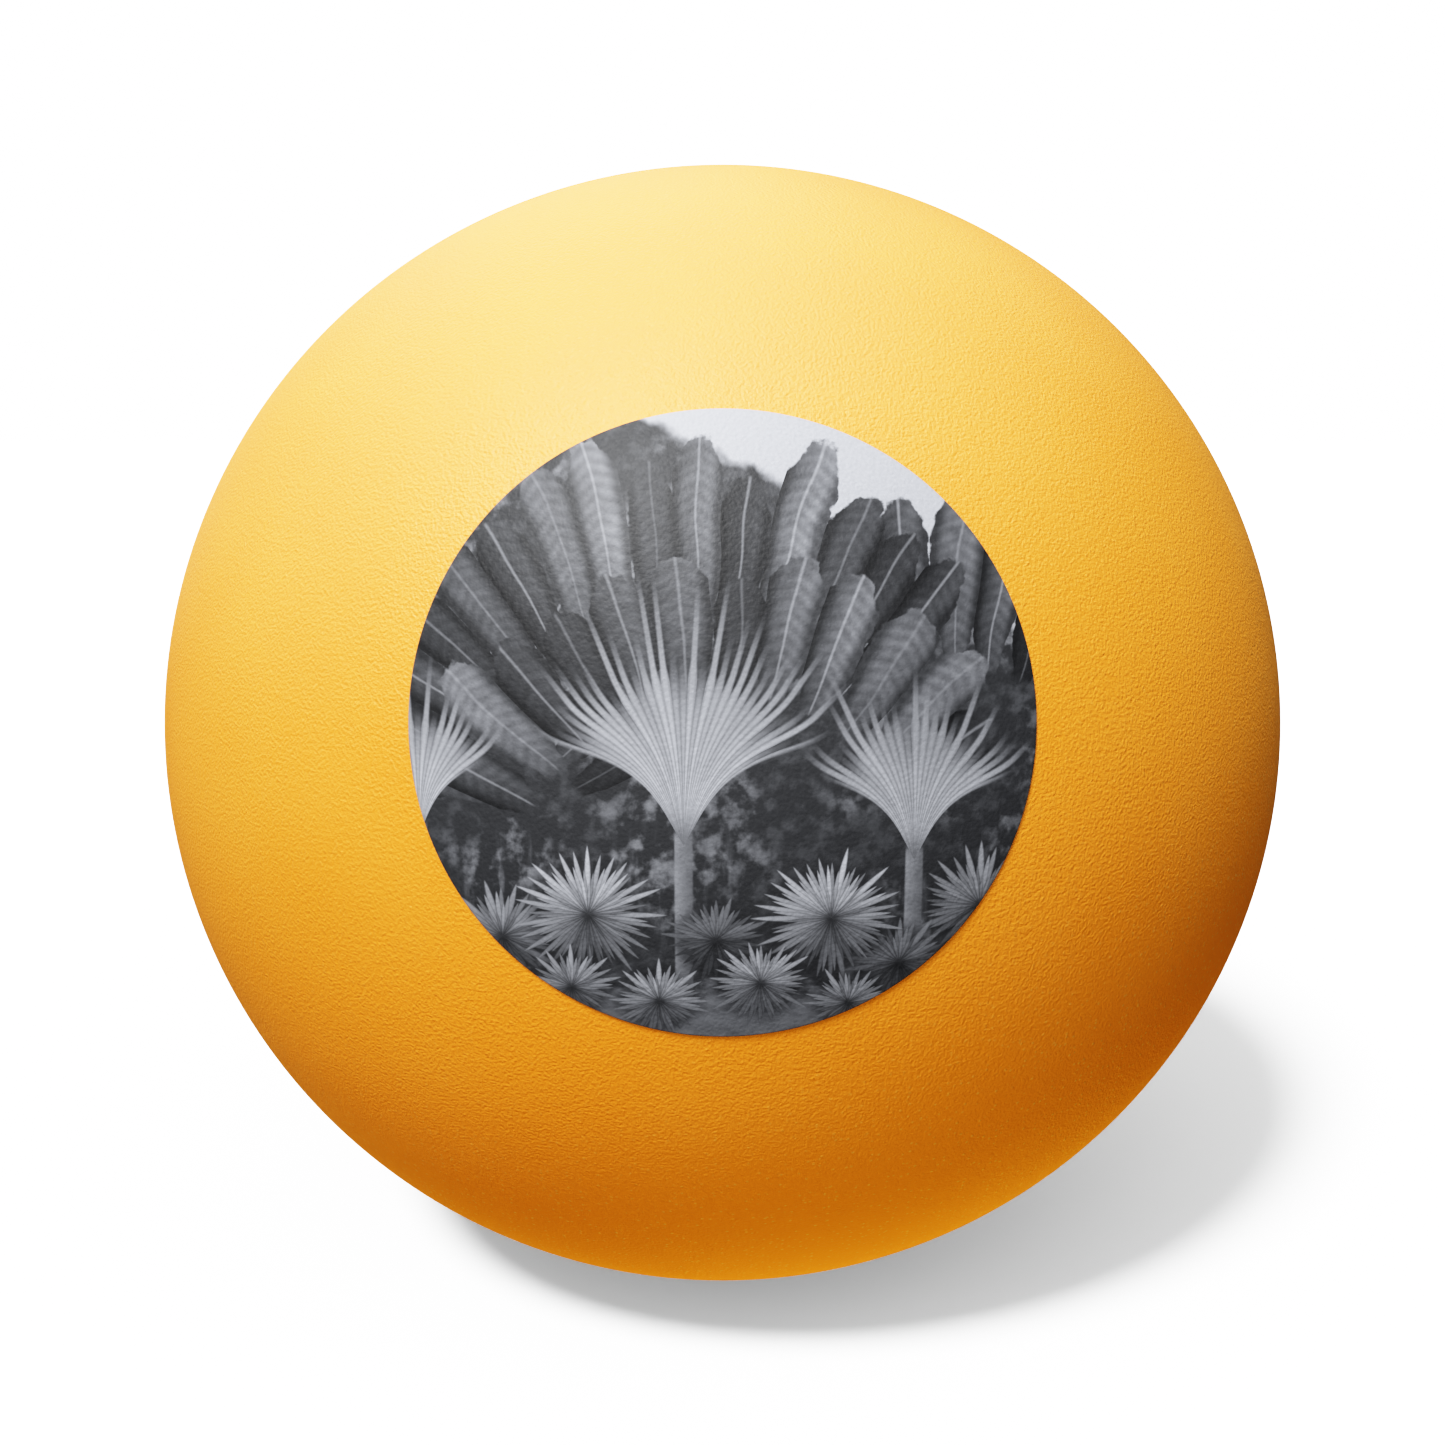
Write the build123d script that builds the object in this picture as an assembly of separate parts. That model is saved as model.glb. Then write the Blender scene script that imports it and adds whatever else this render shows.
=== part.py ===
from build123d import *
import os
from math import asin, degrees

# Table tennis ball, in millimetres.
# The origin is the centre of the ball. The printed pole is at -Y, the plain pole at +Y,
# and +Z is up when the printed picture is upright. Every part is turned about the Y axis,
# so each profile is drawn in the XY plane: X is the distance from that axis.

# The ball
ball_diameter = 40.0
wall_thickness = 0.50

# The thickened band inside each half, where the two halves meet at y = 0
band_extra = 0.30        # how much thicker than the wall
band_half_width = 1.40   # from y = 0 to where the taper starts
band_taper = 0.80        # length of the taper back to the wall

# The stepped lap joint: a tongue on the front half enters a rebate in the rear half
lap_length = 0.80
cement_gap = 0.06        # room left for the cement between the two halves
bead_radius = 0.20       # cement squeezed out on the inside of the tongue's tip

# The fine groove that is left on the outside of the seam
groove_width = 0.20
groove_depth = 0.05

# The round print on the front pole
print_diameter = 17.0
white_thickness = 0.04   # opaque white layer, next to the plastic
ink_thickness = 0.03     # grey picture layer, on top

ball_radius = ball_diameter / 2
inner_radius = ball_radius - wall_thickness
band_radius = inner_radius - band_extra
lap_radius = (ball_radius + band_radius) / 2
half_gap = cement_gap / 2
tongue_radius = lap_radius - half_gap
rebate_radius = lap_radius + half_gap
groove_floor = ball_radius - groove_depth
print_half_angle = degrees(asin(print_diameter / 2 / ball_radius))


def latitude(radius, y):
    """Angle in degrees, from the equator, of a point at height y on a sphere."""
    return degrees(asin(y / radius))


def meridian(radius, start, end):
    """Arc of a sphere's outline between two latitudes in degrees."""
    return CenterArc((0, 0), radius, start, end - start)


def turned(outline):
    """Solid made by turning a closed outline about the Y axis."""
    return revolve(make_face(outline.edges()), axis=Axis.Y)


def front_shell():
    """Printed half: a hemisphere on the -Y side, with the tongue that crosses the seam."""
    with BuildLine() as outline:
        outer = meridian(ball_radius, -90, latitude(ball_radius, -groove_width / 2))
        inner_end = latitude(inner_radius, -band_half_width - band_taper)
        inner = meridian(inner_radius, inner_end, -90)
        Polyline(
            outer @ 1,
            (groove_floor, -half_gap),
            (tongue_radius, -half_gap),
            (tongue_radius, lap_length),
            (band_radius, lap_length),
            (band_radius, -band_half_width),
            inner @ 0,
        )
        Line(inner @ 1, outer @ 0)
    return turned(outline)


def rear_shell():
    """Plain half: a hemisphere on the +Y side, with the rebate that takes the tongue."""
    with BuildLine() as outline:
        outer = meridian(ball_radius, 90, latitude(ball_radius, groove_width / 2))
        inner_end = latitude(inner_radius, band_half_width + band_taper)
        inner = meridian(inner_radius, inner_end, 90)
        Polyline(
            outer @ 1,
            (groove_floor, half_gap),
            (rebate_radius, half_gap),
            (rebate_radius, lap_length + cement_gap),
            (band_radius, lap_length + cement_gap),
            (band_radius, band_half_width),
            inner @ 0,
        )
        Line(inner @ 1, outer @ 0)
    return turned(outline)


def seam_cement():
    """Cement that fills the stepped gap between the halves, with a bead on the inside."""
    bead_y = lap_length + half_gap
    with BuildLine() as outline:
        bead = CenterArc((band_radius, bead_y), bead_radius, 90, 180)
        Polyline(
            bead @ 1,
            (band_radius, lap_length),
            (tongue_radius, lap_length),
            (tongue_radius, -half_gap),
            (groove_floor, -half_gap),
            (groove_floor, half_gap),
            (rebate_radius, half_gap),
            (rebate_radius, lap_length + cement_gap),
            (band_radius, lap_length + cement_gap),
            bead @ 0,
        )
    return turned(outline)


def print_layer(bottom_radius, top_radius):
    """One round, curved layer of the print, centred on the -Y pole."""
    edge = -90 + print_half_angle
    with BuildLine() as outline:
        bottom = meridian(bottom_radius, edge, -90)
        top = meridian(top_radius, -90, edge)
        Line(bottom @ 1, top @ 0)
        Line(top @ 1, bottom @ 0)
    return turned(outline)


white_top = ball_radius + white_thickness
parts = {
    "front_shell": front_shell(),
    "rear_shell": rear_shell(),
    "seam_cement": seam_cement(),
    "print_white_layer": print_layer(ball_radius, white_top),
    "print_grey_layer": print_layer(white_top, white_top + ink_thickness),
}

os.makedirs("parts", exist_ok=True)
for name, solid in parts.items():
    export_step(solid, f"parts/{name}.step")
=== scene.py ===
import math

import bmesh
import bpy
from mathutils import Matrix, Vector


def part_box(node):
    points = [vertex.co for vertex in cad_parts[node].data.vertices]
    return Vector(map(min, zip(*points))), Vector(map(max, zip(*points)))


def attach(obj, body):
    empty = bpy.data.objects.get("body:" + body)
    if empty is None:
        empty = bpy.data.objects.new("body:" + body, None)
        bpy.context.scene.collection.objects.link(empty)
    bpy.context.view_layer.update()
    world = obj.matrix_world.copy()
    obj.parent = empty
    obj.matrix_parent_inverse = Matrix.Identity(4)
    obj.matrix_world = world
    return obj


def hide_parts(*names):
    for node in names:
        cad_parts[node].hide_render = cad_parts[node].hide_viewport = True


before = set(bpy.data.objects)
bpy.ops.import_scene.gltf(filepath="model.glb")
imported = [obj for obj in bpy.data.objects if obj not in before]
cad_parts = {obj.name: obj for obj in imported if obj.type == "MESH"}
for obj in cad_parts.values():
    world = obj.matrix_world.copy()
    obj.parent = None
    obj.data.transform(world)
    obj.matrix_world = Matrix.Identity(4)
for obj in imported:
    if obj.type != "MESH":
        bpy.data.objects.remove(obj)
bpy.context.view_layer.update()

BALL_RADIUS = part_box("rear_shell")[1].y

# The half shells: wall, thick band along the seam, stepped joint and groove
WALL = 0.0005
BAND_EXTRA = 0.0003
BAND_HALF_WIDTH = 0.0014
BAND_TAPER = 0.0008
LAP_LENGTH = 0.0008
HALF_GAP = 0.00003
GROOVE_HALF_WIDTH = 0.0001
GROOVE_DEPTH = 0.00005

# Turned meshes
AROUND = 256           # segments round the ball's Y axis
ARC_STEPS = 96         # steps from a pole to the seam
SHARP_EDGE = 30
ON_AXIS = 1e-9         # a point nearer to the axis than this is a pole

# Camera: straight at the print, close enough that the seam is behind the limb
CAMERA_DISTANCE = 3.243 * BALL_RADIUS
CAMERA_LENS_MM = 42.89
CAMERA_SENSOR_MM = 36.0
CAMERA_CLIP_START = BALL_RADIUS / 20

# Camera response: bright colours roll off softly and reach white at WHITE_LEVEL
WHITE_LEVEL = 5.0
SHOULDER = 1.4
REMAINDER_POWER = 3    # what the shoulder leaves short of white comes in with this power of the light
RESPONSE_STEPS = 28

# Colours, scene linear
ORANGE = (1.0, 0.44, 0.040)
DEEP_ORANGE = (0.98, 0.40, 0.028)
# Pale tint of the speckles: painted glints on the shaded side of the ball
GLINT_ORANGE = (1.0, 0.68, 0.17)
AMBER = (0.80, 0.33, 0.03)
WHITE_INK = (0.86, 0.86, 0.85)
THIN_WHITE_INK = (0.78, 0.77, 0.74)
INK_TINT = (0.95, 0.98, 1.07)

# Surface of the plastic, the cement and the ink
GRAIN_SIZE = 0.00009
GRAIN_DEPTH = 0.000036
PEBBLE_SIZE = GRAIN_SIZE * 1.4
CLOUD_SIZE = 0.006
SPECK_SPACING = 0.00019
# The side turned away from the key light, where the speckles carry painted glints in the shade
GLINT_SIDE = (66.5, -43.5)     # azimuth and elevation
RIPPLE_SIZE = 0.0008
BUBBLE_SIZE = 0.00025
CEMENT_DEPTH = 0.00003
STREAK_SIZE = 0.0015

# The picture. Places and lengths in it run from -1 to 1 over the round print.
PICTURE_RADIUS = 0.0085
LUCK_STEP = 7.31       # parts the random numbers of one seed from those of the next
MOTTLE_STEP = 3.7      # parts the clouds of one seed from those of the next
# Broad leaves: hub, near and far reach, first and last angle, count, tone, seed
LEAF_RINGS = [
    ((0.70, -0.45), 0.62, 1.24, -30, 44, 8, 0.09, 3),
    ((-0.92, -0.50), 0.55, 1.05, -10, 62, 7, 0.10, 4),
    ((-0.10, -0.45), 0.70, 1.42, -76, 46, 15, 0.115, 5),
    ((-0.02, -0.58), 0.66, 1.16, -66, 62, 12, 0.11, 6),
]
# Fan palms: hub, reach, half the fan's angle, count, seed
FAN_PALMS = [
    ((-0.97, -0.36), 0.62, 44, 20, 7),
    ((0.60, -0.43), 0.74, 50, 24, 8),
    ((-0.12, -0.38), 0.92, 52, 32, 9),
]
# Rosettes: centre, radius, height over width, count, tone, seed
ROSETTES = [
    ((-0.70, -0.68), 0.22, 0.90, 24, 0.22, 11),
    ((0.82, -0.58), 0.24, 0.90, 26, 0.24, 12),
    ((0.56, -0.76), 0.20, 0.85, 22, 0.17, 19),
    ((-0.02, -0.68), 0.19, 0.85, 22, 0.15, 20),
    ((0.34, -0.61), 0.26, 0.90, 32, 0.38, 13),
    ((-0.42, -0.60), 0.26, 0.90, 32, 0.38, 14),
    ((-0.48, -0.84), 0.18, 0.85, 24, 0.28, 18),
    ((0.12, -0.82), 0.19, 0.85, 26, 0.34, 15),
    ((-0.20, -0.88), 0.18, 0.85, 24, 0.32, 16),
    ((0.40, -0.89), 0.16, 0.85, 24, 0.26, 17),
]

# Lights: azimuth, elevation, spread, colour, strength
WHITE = (1.0, 1.0, 1.0)
KEY = (1.0, 0.80, 0.68)
COOL = (0.82, 0.86, 1.0)
BLUE = (0.60, 0.68, 1.0)
BOUNCE = (1.0, 0.46, 0.03)
LIGHT_DISTANCE = 10 * BALL_RADIUS
LIGHTS = {
    "key": (246, 43.5, 22, KEY, 8.5),
    "front_left": (240, 30, 50, COOL, 1.5),
    "front_right_top": (300, 60, 50, COOL, 2.0),
    "back_left_top": (120, 60, 50, COOL, 1.7),
    "back_right_top": (60, 60, 50, COOL, 0.8),
    "back_left": (120, 30, 50, COOL, 0.6),
    "top": (270, 85, 50, COOL, 1.5),
    "left": (180, 30, 50, BLUE, 1.4),
    "left_top": (180, 60, 50, BLUE, 1.4),
    "right_top": (0, 60, 50, BLUE, 0.4),
    "bounce_back": (90, -25, 50, BOUNCE, 2.4),
    "bounce_back_right": (60, -55, 50, BOUNCE, 1.6),
    "bounce_front_left": (240, -55, 50, BOUNCE, 1.3),
    "bounce_front_right": (300, -55, 50, BOUNCE, 1.1),
}
PRINT_LIGHTS = {
    "print_key": (246.5, 43.5, 22, WHITE, 7.6),
    "print_top": (270, 85, 50, WHITE, 2.0),
    "print_front": (255, 15, 90, WHITE, 1.6),
}
FLOOR_LIGHTS = {
    "floor_key": (247, 38.5, 11, WHITE, 14.6),
    "floor_fill": (270, 35, 94, WHITE, 6.0),
}
AMBIENT = 0.02

# The floor slopes up behind the ball: the ball lies rolled back a little, so that the print faces the camera
FLOOR_TILT = 9.5
FLOOR_HALF_SIZE = 400 * BALL_RADIUS
FLOOR_GLOW = 0.5


# ---------------------------------------------------------------- shapes

def arc(radius, start, end, steps):
    """Points (distance from the Y axis, y) along a sphere's outline. Angles count from the equator."""
    points = []
    for step in range(steps + 1):
        angle = start + (end - start) * step / steps
        points.append((radius * math.cos(angle), radius * math.sin(angle)))
    return points


def turned(name, profile):
    """Closed mesh made by turning a profile about the Y axis. The profile's two ends lie on the axis."""
    verts = []
    faces = []
    rings = []
    for distance, y in profile:
        if distance < ON_AXIS:
            rings.append([len(verts)] * AROUND)
            verts.append((0, y, 0))
            continue
        rings.append(list(range(len(verts), len(verts) + AROUND)))
        for step in range(AROUND):
            angle = 2 * math.pi * step / AROUND
            verts.append((distance * math.cos(angle), y, distance * math.sin(angle)))
    for inner, outer in zip(rings, rings[1:]):
        for step in range(AROUND):
            after = (step + 1) % AROUND
            corners = [inner[step], inner[after], outer[after], outer[step]]
            faces.append(list(dict.fromkeys(corners)))
    mesh = bpy.data.meshes.new(name)
    mesh.from_pydata(verts, [], faces)
    mesh.shade_smooth()
    mesh.set_sharp_from_angle(angle=math.radians(SHARP_EDGE))
    work = bmesh.new()
    work.from_mesh(mesh)
    bmesh.ops.recalc_face_normals(work, faces=work.faces)
    work.to_mesh(mesh)
    work.free()
    piece = bpy.data.objects.new(name, mesh)
    bpy.context.collection.objects.link(piece)
    return piece


def shell(name, node, side, step_radius, lap_y):
    """Half shell with its wall, thick band and side of the stepped joint. Side is -1 at the front."""
    inner = BALL_RADIUS - WALL
    band = inner - BAND_EXTRA
    pole = math.pi / 2
    outer_end = math.asin(GROOVE_HALF_WIDTH / BALL_RADIUS)
    inner_end = math.asin((BAND_HALF_WIDTH + BAND_TAPER) / inner)
    profile = arc(BALL_RADIUS, side * pole, side * outer_end, ARC_STEPS)
    profile.append((BALL_RADIUS - GROOVE_DEPTH, side * HALF_GAP))
    profile.append((step_radius, side * HALF_GAP))
    profile.append((step_radius, lap_y))
    profile.append((band, lap_y))
    profile.append((band, side * BAND_HALF_WIDTH))
    profile += arc(inner, side * inner_end, side * pole, ARC_STEPS // 2)
    profile[0] = (0, side * BALL_RADIUS)
    profile[-1] = (0, side * inner)
    piece = turned(name, profile)
    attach(piece, "root")
    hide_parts(node)
    return piece


def half_shells():
    """The two halves: a tongue on the front one lies inside the rebate of the rear one."""
    middle = BALL_RADIUS - (WALL + BAND_EXTRA) / 2
    front = shell("front_half", "front_shell", -1, middle - HALF_GAP, LAP_LENGTH)
    rear = shell("rear_half", "rear_shell", 1, middle + HALF_GAP, LAP_LENGTH + 2 * HALF_GAP)
    return front, rear


def picture_film():
    """The printed picture: a thin cap on the front pole with a rounded rim."""
    low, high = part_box("print_grey_layer")
    top = -low.y
    bottom = -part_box("print_white_layer")[0].y
    half_angle = math.asin(high.x / top)
    pole = -math.pi / 2
    rim = pole + half_angle
    round_off = (top - bottom) / top
    profile = arc(top, pole, rim - round_off, ARC_STEPS)
    profile += arc((top + bottom) / 2, rim - round_off / 4, rim, 1)
    profile += arc(bottom, rim, pole, ARC_STEPS // 2)
    profile[0] = (0, -top)
    profile[-1] = (0, -bottom)
    piece = turned("picture_film", profile)
    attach(piece, "root")
    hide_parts("print_grey_layer")
    return piece


# ---------------------------------------------------------------- stage

def look_at(obj, target):
    """Turns an object so that its -Z axis points at the target."""
    obj.rotation_euler = (Vector(target) - obj.location).to_track_quat("-Z", "Y").to_euler()


def make_camera():
    """Camera level with the ball's centre, on the print's axis."""
    data = bpy.data.cameras.new("camera")
    data.lens = CAMERA_LENS_MM
    data.sensor_width = CAMERA_SENSOR_MM
    data.clip_start = CAMERA_CLIP_START
    camera = bpy.data.objects.new("camera", data)
    camera.location = (0, -CAMERA_DISTANCE, 0)
    look_at(camera, (0, 0, 0))
    bpy.context.collection.objects.link(camera)
    bpy.context.scene.camera = camera


def direction(azimuth, elevation):
    """Unit vector from the ball's centre. Azimuth 0 is +X and 270 is the camera's side."""
    turn = math.radians(azimuth)
    rise = math.radians(elevation)
    return Vector((math.cos(rise) * math.cos(turn), math.cos(rise) * math.sin(turn), math.sin(rise)))


def make_sun(name, azimuth, elevation, spread, colour, strength, receivers):
    """Soft directional light, as wide as the given spread, that lights its receivers only."""
    data = bpy.data.lights.new(name, "SUN")
    data.angle = math.radians(spread)
    data.color = colour
    data.energy = strength
    light = bpy.data.objects.new(name, data)
    light.location = direction(azimuth, elevation) * LIGHT_DISTANCE
    look_at(light, (0, 0, 0))
    bpy.context.collection.objects.link(light)
    light.light_linking.receiver_collection = receivers
    return light


def make_floor():
    """Large pale floor that touches the ball from below."""
    half = FLOOR_HALF_SIZE
    mesh = bpy.data.meshes.new("floor")
    corners = [(-half, -half, 0), (half, -half, 0), (half, half, 0), (-half, half, 0)]
    mesh.from_pydata(corners, [], [(0, 1, 2, 3)])
    floor = bpy.data.objects.new("floor", mesh)
    floor.location = direction(90, FLOOR_TILT - 90) * BALL_RADIUS
    floor.rotation_euler.x = math.radians(FLOOR_TILT)
    bpy.context.collection.objects.link(floor)
    return floor


def floor_material(glow):
    """Pale floor. Its own glow stands for the light of the studio that casts no shadow."""
    material = bpy.data.materials.new("pale_floor")
    material.use_nodes = True
    nodes, links = material.node_tree.nodes, material.node_tree.links
    nodes.clear()
    out = nodes.new("ShaderNodeOutputMaterial")
    add = nodes.new("ShaderNodeAddShader")
    diffuse = nodes.new("ShaderNodeBsdfDiffuse")
    diffuse.inputs["Color"].default_value = (1, 1, 1, 1)
    emission = nodes.new("ShaderNodeEmission")
    emission.inputs["Strength"].default_value = glow
    links.new(diffuse.outputs[0], add.inputs[0])
    links.new(emission.outputs[0], add.inputs[1])
    links.new(add.outputs[0], out.inputs[0])
    return material


def make_world(strength):
    """Plain white surroundings for the camera, and a weak even light for the ball."""
    world = bpy.data.worlds.new("studio")
    bpy.context.scene.world = world
    world.use_nodes = True
    nodes, links = world.node_tree.nodes, world.node_tree.links
    nodes.clear()
    out = nodes.new("ShaderNodeOutputWorld")
    mix = nodes.new("ShaderNodeMixShader")
    seen = nodes.new("ShaderNodeBackground")
    seen.inputs["Strength"].default_value = WHITE_LEVEL
    seen.inputs["Color"].default_value = (1, 1, 1, 1)
    lit = nodes.new("ShaderNodeBackground")
    lit.inputs["Color"].default_value = (1, 1, 1, 1)
    lit.inputs["Strength"].default_value = strength
    path = nodes.new("ShaderNodeLightPath")
    links.new(path.outputs["Is Camera Ray"], mix.inputs[0])
    links.new(lit.outputs[0], mix.inputs[1])
    links.new(seen.outputs[0], mix.inputs[2])
    links.new(mix.outputs[0], out.inputs[0])


def response(light):
    """Share of full white that the camera gives for an amount of light."""
    roll = (1 - math.exp(-light)) ** SHOULDER
    missing = 1 - (1 - math.exp(-WHITE_LEVEL)) ** SHOULDER
    return roll + missing * (light / WHITE_LEVEL) ** REMAINDER_POWER


def set_response():
    """Sets the view to the camera's response."""
    settings = bpy.context.scene.view_settings
    settings.view_transform = "Standard"
    settings.use_curve_mapping = True
    mapping = settings.curve_mapping
    mapping.white_level = (WHITE_LEVEL, WHITE_LEVEL, WHITE_LEVEL)
    curve = mapping.curves[3]
    for step in range(1, RESPONSE_STEPS):
        share = (step / RESPONSE_STEPS) ** 2
        curve.points.new(share, response(share * WHITE_LEVEL))
    mapping.update()


def light_only(name, members, lights):
    """Makes lights that reach only the members, and returns them."""
    together = bpy.data.collections.new(name)
    for member in members:
        together.objects.link(member)
    return [make_sun(light, *values, together) for light, values in lights.items()]


def make_stage(ball, printed):
    """Camera, floor, surroundings and lights."""
    make_camera()
    floor = make_floor()
    floor.data.materials.append(floor_material(FLOOR_GLOW))
    floor.visible_shadow = False
    floor.visible_diffuse = False
    floor.visible_glossy = False
    # No orange light comes back from the ball onto the floor
    for piece in ball + printed:
        piece.visible_diffuse = False
    light_only("ball_only", ball, LIGHTS)
    light_only("print_only", printed, PRINT_LIGHTS)
    # The floor's diffuse rays pass through the ball, so only shadow rays may find these lights
    for light in light_only("floor_only", [floor], FLOOR_LIGHTS):
        light.data.cycles.use_multiple_importance_sampling = False
    make_world(AMBIENT)
    set_response()


# ---------------------------------------------------------------- the printed picture

class Field:
    """A number that varies over a surface: one output of a shader node, with ordinary arithmetic."""

    def __init__(self, tree, socket):
        self.tree = tree
        self.socket = socket

    def node(self, kind, **settings):
        """New node in the same tree."""
        made = self.tree.nodes.new(kind)
        for name, value in settings.items():
            setattr(made, name, value)
        return made

    def feed(self, slot, value):
        """Gives an input a field or a plain number."""
        if isinstance(value, Field):
            self.tree.links.new(value.socket, slot)
        else:
            slot.default_value = value

    def math(self, operation, *values):
        """Field made by a Math node. The values can be fields or plain numbers."""
        made = self.node("ShaderNodeMath", operation=operation)
        for slot, value in zip(made.inputs, values):
            self.feed(slot, value)
        return Field(self.tree, made.outputs[0])

    def __add__(self, other):
        return self.math("ADD", self, other)

    def __sub__(self, other):
        return self.math("SUBTRACT", self, other)

    def __rsub__(self, other):
        return self.math("SUBTRACT", other, self)

    def __mul__(self, other):
        return self.math("MULTIPLY", self, other)

    def __truediv__(self, other):
        return self.math("DIVIDE", self, other)

    def __abs__(self):
        return self.math("ABSOLUTE", self)

    __radd__ = __add__
    __rmul__ = __mul__


def ramp(value, low, high):
    """Smooth step: 0 where the value is at low, 1 where it is at high. High may be the smaller one."""
    made = value.node("ShaderNodeMapRange", interpolation_type="SMOOTHSTEP", clamp=False)
    value.feed(made.inputs["Value"], value)
    value.feed(made.inputs["From Min"], low)
    value.feed(made.inputs["From Max"], high)
    return Field(value.tree, made.outputs["Result"])


def chance(index, seed):
    """Random number from 0 to 1 that is the same all over one stalk, leaf or blade."""
    key = index + seed * LUCK_STEP
    made = index.node("ShaderNodeTexWhiteNoise", noise_dimensions="1D")
    index.feed(made.inputs["W"], key)
    return Field(index.tree, made.outputs["Value"])


def mottle(picture, scale, seed, detail=2.0, stretch=1.0):
    """Cloudy noise about 0.5 over the picture. Stretch above 1 draws it out upwards."""
    place = picture.u.node("ShaderNodeMapping")
    across = scale / PICTURE_RADIUS
    place.inputs["Scale"].default_value = (across, 0, across / stretch)
    place.inputs["Location"].default_value = (0, seed * MOTTLE_STEP, 0)
    made = picture.u.node("ShaderNodeTexNoise")
    made.inputs["Scale"].default_value = 1.0
    made.inputs["Detail"].default_value = detail
    links = picture.u.tree.links
    links.new(picture.place, place.inputs["Vector"])
    links.new(place.outputs["Vector"], made.inputs["Vector"])
    return Field(picture.u.tree, made.outputs["Fac"])


def polar(u, v, centre, squash=1.0):
    """Distance from a point, and the angle from straight up, clockwise, in radians."""
    across = u - centre[0]
    up = (v - centre[1]) / squash
    squared = across * across + up * up
    distance = squared.math("SQRT", squared)
    angle = across.math("ARCTAN2", across, up)
    return distance, angle


def position(tree, place, turn):
    """Runs from -1 to 1 across the print: along X, or along Z when turned a quarter about Y."""
    scale = 0.5 / PICTURE_RADIUS
    aim = tree.nodes.new("ShaderNodeMapping")
    aim.inputs["Scale"].default_value = (scale, scale, scale)
    aim.inputs["Rotation"].default_value = (0, turn, 0)
    aim.inputs["Location"].default_value = (0.5, 0, 0)
    made = tree.nodes.new("ShaderNodeTexGradient")
    tree.links.new(place, aim.inputs["Vector"])
    tree.links.new(aim.outputs["Vector"], made.inputs["Vector"])
    return Field(tree, made.outputs["Fac"]) * 2.0 - 1.0


class Picture:
    """A grey picture built up from back to front. u and v run from -1 to 1 over the round print."""

    def __init__(self, tree, place):
        self.place = place
        self.u = position(tree, place, 0.0)
        self.v = position(tree, place, math.pi / 2)
        self.tone = 0.0

    def over(self, tone, cover):
        """Lays a tone over the picture where cover is 1."""
        made = self.u.node("ShaderNodeMix", data_type="FLOAT")
        self.u.feed(made.inputs[0], cover)
        self.u.feed(made.inputs[2], self.tone)
        self.u.feed(made.inputs[3], tone)
        self.tone = Field(self.u.tree, made.outputs[0])


def thicket(picture, seed):
    """Dark undergrowth behind everything: mottled clumps with hanging streaks."""
    clumps = ramp(mottle(picture, 3.5, seed, 3.0), 0.45, 0.66)
    leaves = ramp(mottle(picture, 19.0, seed + 1, 3.0), 0.44, 0.70)
    streaks = ramp(mottle(picture, 26.0, seed + 2, 3.0, 5.0), 0.50, 0.72)
    low = ramp(picture.v, -0.25, -0.55)
    picture.tone = 0.032 + clumps * leaves * 0.17 + streaks * clumps * 0.12 * low + leaves * 0.035


def sky(picture, seed):
    """Pale sky in the upper right."""
    u, v = picture.u, picture.v
    edge = u * 0.50 + v * 0.87 + mottle(picture, 6.0, seed, 3.0) * 0.20
    picture.over(0.50 + v * 0.06, ramp(edge, 0.80, 0.84))


def paddle_leaves(picture, hub, near, far, first, last, count, tone, seed):
    """Broad ribbed leaves side by side round a hub, from the first angle to the last."""
    u, v = picture.u, picture.v
    wander = (mottle(picture, 2.2, seed + 3, 1.0) - 0.5) * 0.10
    distance, angle = polar(u + wander, v, hub)
    start, end = math.radians(first), math.radians(last)
    lane = (angle - start) * (count / (end - start))
    index = lane.math("FLOOR", lane)
    luck = chance(index, seed)
    other = chance(index, seed + 0.5)
    off = lane - index - 0.5 + (other - 0.5) * 0.16
    length = (far - near) * (0.74 + luck * 0.26)
    along = (distance - near) / length
    rough = mottle(picture, 22.0, seed, 3.0)
    side = abs(off) + (rough - 0.5) * 0.26
    width = 0.32 + 0.24 * ramp(along, 0.0, 0.35) - 0.34 * ramp(along, 0.72, 1.0)
    cover = ramp(side, width, width - 0.05)
    torn = along + (rough - 0.5) * 0.16 + abs(off) * 0.10
    cover = cover * ramp(torn, 1.0, 0.97) * ramp(along, -0.02, 0.06)
    cover = cover * ramp(lane, 0.0, 0.02) * ramp(lane, count, count - 0.02)
    ribs = distance * 150.0 + abs(off) * 14.0
    ribs = ribs.math("SINE", ribs) * 0.13 + 1.0
    fold = 0.95 + off * (other * 2.6 - 0.6)
    dark_edge = 1.0 - 0.75 * ramp(abs(off), 0.22, 0.46)
    shade = ribs * fold * dark_edge * (0.30 + luck * luck * 1.35)
    midrib = ramp(abs(off), 0.045, 0.0) * (0.05 + other * 0.14)
    shadow = 0.55 + 0.45 * ramp(along, 0.0, 0.55)
    picture.over(shade * tone * shadow * (0.45 + rough * 1.1) + midrib, cover)


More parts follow.
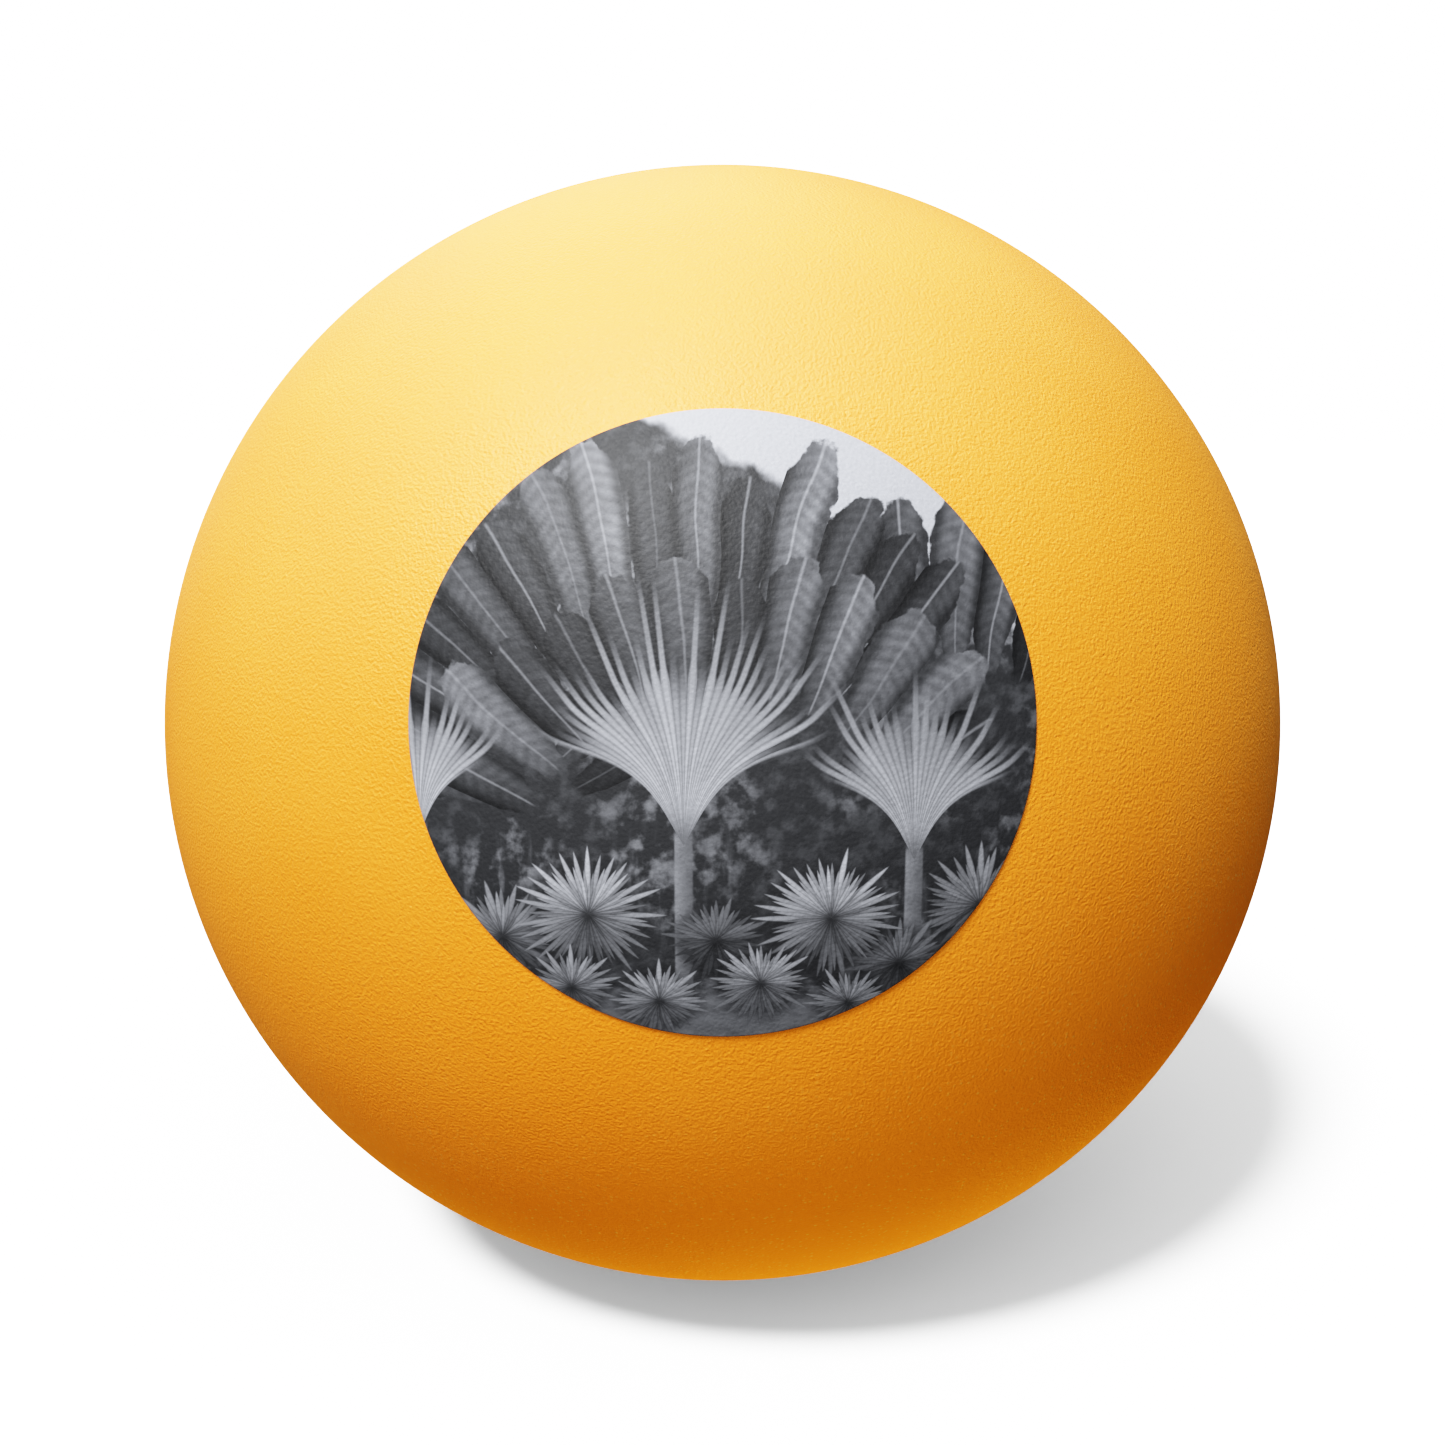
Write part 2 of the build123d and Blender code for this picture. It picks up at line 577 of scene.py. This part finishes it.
def fan_palm(picture, hub, reach, spread, count, seed):
    """Pale stalks that spread from a cup on a slim trunk. Spread is half the fan's angle."""
    u, v = picture.u, picture.v
    across = u - hub[0]
    bark = 0.16 + mottle(picture, 20.0, seed, 3.0) * 0.20
    trunk = ramp(abs(across), 0.032, 0.024) * ramp(v, hub[1] + 0.05, hub[1] + 0.02)
    picture.over(bark * (0.85 - across * 9.0), trunk)
    distance, angle = polar(u, v, hub)
    half = math.radians(spread) * (0.56 + 0.44 * ramp(distance, reach * 0.10, reach * 0.62))
    turn = angle / half
    lane = turn * (count / 2)
    index = lane.math("ROUND", lane)
    off = abs(lane - index)
    luck = chance(index, seed)
    lane_width = distance * half * (2.0 / count)
    stalk = 0.0135 - distance * (0.0085 / reach)
    cup = ramp(distance + abs(turn) * reach * 0.16, reach * 0.64, reach * 0.40)
    stalk = stalk + cup * 0.03
    end = (0.62 + luck * 0.38) * (reach - turn * turn * (reach * 0.22))
    cover = ramp(off * lane_width, stalk + 0.005, stalk - 0.004)
    cover = cover * ramp(distance, end, end - 0.22 * reach) * ramp(abs(turn), 1.03, 0.97)
    tone = 0.15 + 0.33 * ramp(distance, reach * 0.95, reach * 0.22)
    tone = tone * (0.80 + luck * 0.30) * (1.0 - 0.34 * ramp(off, 0.12, 0.5))
    tone = tone * (1.0 - 0.55 * ramp(distance, reach * 0.16, 0.0))
    tone = tone * (0.80 + mottle(picture, 7.0, seed + 2, 3.0) * 0.4)
    picture.over(tone, cover)


def rosette(picture, centre, radius, squash, count, tone, seed):
    """Ball of narrow, pointed blades round a dark heart."""
    u, v = picture.u, picture.v
    distance, angle = polar(u, v, centre, squash)
    picture.over(0.020, ramp(distance, radius * 0.90, radius * 0.50) * 0.80)
    lit = angle.math("COSINE", angle) * 0.46 + 0.82
    for layer in range(3):
        size = 1.0 - layer * 0.22
        lane = angle * (count / (2 * math.pi)) + layer * 0.37
        index = lane.math("ROUND", lane)
        off = abs(lane - index)
        luck = chance(index, seed + layer)
        along = distance / (radius * size * (0.74 + luck * 0.26))
        half = 0.56 * (1.0 - along * along) + 0.05
        cover = ramp(off, half, half - 0.16) * ramp(along, 1.0, 0.94)
        shade = (0.30 + 0.70 * ramp(along, 0.0, 0.60)) * (0.50 + luck * 0.75) * lit
        shade = shade * (1.0 - 0.60 * ramp(off, half * 0.25, half))
        picture.over(shade * tone, cover)
    picture.over(0.030, ramp(distance, radius * 0.12, radius * 0.03) * 0.6)


def ground(picture, seed):
    """Pale, rough ground at the very bottom."""
    rough = mottle(picture, 14.0, seed, 4.0, 0.5)
    edge = picture.v - (rough - 0.5) * 0.25
    picture.over(0.08 + rough * 0.20, ramp(edge, -0.80, -0.90) * 0.9)


def garden(tree, place):
    """A made-up palm garden in greys, from back to front."""
    picture = Picture(tree, place)
    thicket(picture, 1)
    sky(picture, 2)
    for ring in LEAF_RINGS:
        paddle_leaves(picture, *ring)
    for palm in FAN_PALMS:
        fan_palm(picture, *palm)
    ground(picture, 10)
    for plant in ROSETTES:
        rosette(picture, *plant)
    return picture.tone


# ---------------------------------------------------------------- materials

def new_material(name):
    """New material, with its node tree, its Principled shader and the place on the object in metres."""
    material = bpy.data.materials.new(name)
    material.use_nodes = True
    tree = material.node_tree
    shader = tree.nodes["Principled BSDF"]
    place = tree.nodes.new("ShaderNodeTexCoord").outputs["Object"]
    return material, tree, shader, place


def noise(tree, place, size, detail=2.0, seed=0.0):
    """Noise about 0.5 whose blobs are about the given size in metres."""
    made = tree.nodes.new("ShaderNodeTexNoise")
    made.noise_dimensions = "4D"
    made.inputs["Scale"].default_value = 1.0 / size
    made.inputs["Detail"].default_value = detail
    made.inputs["W"].default_value = seed
    tree.links.new(place, made.inputs["Vector"])
    return Field(tree, made.outputs["Fac"])


def pebbles(tree, place, size):
    """Small rounded bumps packed together: 1 at their tops."""
    made = tree.nodes.new("ShaderNodeTexVoronoi")
    made.feature = "SMOOTH_F1"
    made.inputs["Scale"].default_value = 1.0 / size
    made.inputs["Smoothness"].default_value = 0.6
    tree.links.new(place, made.inputs["Vector"])
    return 1.0 - Field(tree, made.outputs["Distance"])


def bump(tree, shader, height, depth):
    """Bumps the surface by a field times a depth in metres."""
    made = tree.nodes.new("ShaderNodeBump")
    made.inputs["Distance"].default_value = depth
    tree.links.new(height.socket, made.inputs["Height"])
    tree.links.new(made.outputs["Normal"], shader.inputs["Normal"])


def blend_colours(tree, share, first, second):
    """Colour between two colours. The first one may be another blend."""
    made = tree.nodes.new("ShaderNodeMix")
    made.data_type = "RGBA"
    tree.links.new(share.socket, made.inputs["Factor"])
    if isinstance(first, tuple):
        made.inputs["A"].default_value = (*first, 1)
    else:
        tree.links.new(first, made.inputs["A"])
    made.inputs["B"].default_value = (*second, 1)
    return made.outputs["Result"]


def specks_and_glints(tree, place):
    """Tiny round marks in an uneven pattern, most of them on the side turned away from the key light, where
    their pale tint is painted glints in the shade: 1 inside a mark.
    """
    made = tree.nodes.new("ShaderNodeTexVoronoi")
    made.inputs["Scale"].default_value = 1.0 / SPECK_SPACING
    tree.links.new(place, made.inputs["Vector"])
    split = tree.nodes.new("ShaderNodeSeparateColor")
    tree.links.new(made.outputs["Color"], split.inputs[0])
    inside = ramp(Field(tree, made.outputs["Distance"]), 0.34, 0.14)
    chosen = ramp(Field(tree, split.outputs[0]), 0.25, 0.80)
    aim = tree.nodes.new("ShaderNodeVectorMath")
    aim.operation = "DOT_PRODUCT"
    tree.links.new(place, aim.inputs[0])
    aim.inputs[1].default_value = direction(*GLINT_SIDE) / BALL_RADIUS
    # Thickest where the surface turns away from the key light, in the shaded band where the painted glints
    # show
    away_from_key = ramp(Field(tree, aim.outputs["Value"]), -0.30, 0.10)
    return inside * chosen * (away_from_key * 0.85 + 0.15)


def ball_plastic():
    """Matt orange plastic: a pebbled grain, faint clouds in its colour and tiny raised speckles, tinted pale
    as painted glints, most of all on the shaded side.
    """
    material, tree, shader, place = new_material("ball_plastic")
    fine = noise(tree, place, GRAIN_SIZE, 1.5)
    cells = pebbles(tree, place, PEBBLE_SIZE)
    broad = noise(tree, place, CLOUD_SIZE, 3.0, 1.0)
    glint_dots = specks_and_glints(tree, place)
    bump(tree, shader, fine + cells * 0.25 + broad + glint_dots * 0.25, GRAIN_DEPTH)
    clouds = ramp(broad * 0.6 + fine * 0.4, 0.30, 0.70)
    base = blend_colours(tree, clouds, DEEP_ORANGE, ORANGE)
    # Painted glints: the speckles are tinted pale, most of all on the shaded side
    tinted = blend_colours(tree, glint_dots * 0.8, base, GLINT_ORANGE)
    tree.links.new(tinted, shader.inputs["Base Color"])
    tree.links.new((fine * 0.10 + broad * 0.10 + 0.42 - glint_dots * 0.12).socket, shader.inputs["Roughness"])
    shader.inputs["Specular IOR Level"].default_value = 0.95
    return material


def seam_plastic():
    """Set cement along the joint: amber, smooth, with slow ripples and small bubbles."""
    material, tree, shader, place = new_material("seam_cement")
    ripples = noise(tree, place, RIPPLE_SIZE, 2.0)
    bubbles = pebbles(tree, place, BUBBLE_SIZE)
    bump(tree, shader, ripples + bubbles * 0.4, CEMENT_DEPTH)
    share = ramp(ripples, 0.3, 0.7)
    tree.links.new(blend_colours(tree, share, AMBER, DEEP_ORANGE), shader.inputs["Base Color"])
    tree.links.new((ripples * 0.25 + 0.20).socket, shader.inputs["Roughness"])
    return material


def white_ink():
    """White base under the picture: an even film that shows the grain of the plastic under it."""
    material, tree, shader, place = new_material("white_ink")
    fine = noise(tree, place, GRAIN_SIZE, 1.5)
    streaks = noise(tree, place, STREAK_SIZE, 3.0, 2.0)
    bump(tree, shader, fine, GRAIN_DEPTH * 0.5)
    colour = blend_colours(tree, streaks, WHITE_INK, THIN_WHITE_INK)
    tree.links.new(colour, shader.inputs["Base Color"])
    tree.links.new((fine * 0.15 + 0.42).socket, shader.inputs["Roughness"])
    return material


def grey_ink():
    """The printed picture in cool greys, a little soft, with the grain of the ball in its surface."""
    material, tree, shader, place = new_material("grey_ink")
    fine = noise(tree, place, GRAIN_SIZE, 1.5)
    cells = pebbles(tree, place, PEBBLE_SIZE)
    bump(tree, shader, fine * 0.6 + cells * 0.5, GRAIN_DEPTH * 0.4)
    tone = garden(tree, place) * (0.96 + fine * 0.24) + 0.013
    join = tree.nodes.new("ShaderNodeCombineColor")
    for slot, share in zip(join.inputs, INK_TINT):
        tree.links.new((tone * share).socket, slot)
    tree.links.new(join.outputs[0], shader.inputs["Base Color"])
    tree.links.new((fine * 0.15 + 0.45).socket, shader.inputs["Roughness"])
    shader.inputs["Specular IOR Level"].default_value = 0.35
    return material


def dress(piece, material):
    """Gives a CAD piece its material."""
    for slot in piece.material_slots:
        slot.material = material


# ---------------------------------------------------------------- the scene

front, rear = half_shells()
film = picture_film()
cement = bpy.data.objects["seam_cement"]
white_layer = bpy.data.objects["print_white_layer"]
plastic = ball_plastic()
front.data.materials.append(plastic)
rear.data.materials.append(plastic)
film.data.materials.append(grey_ink())
dress(cement, seam_plastic())
dress(white_layer, white_ink())
make_stage([front, rear, cement], [film, white_layer])
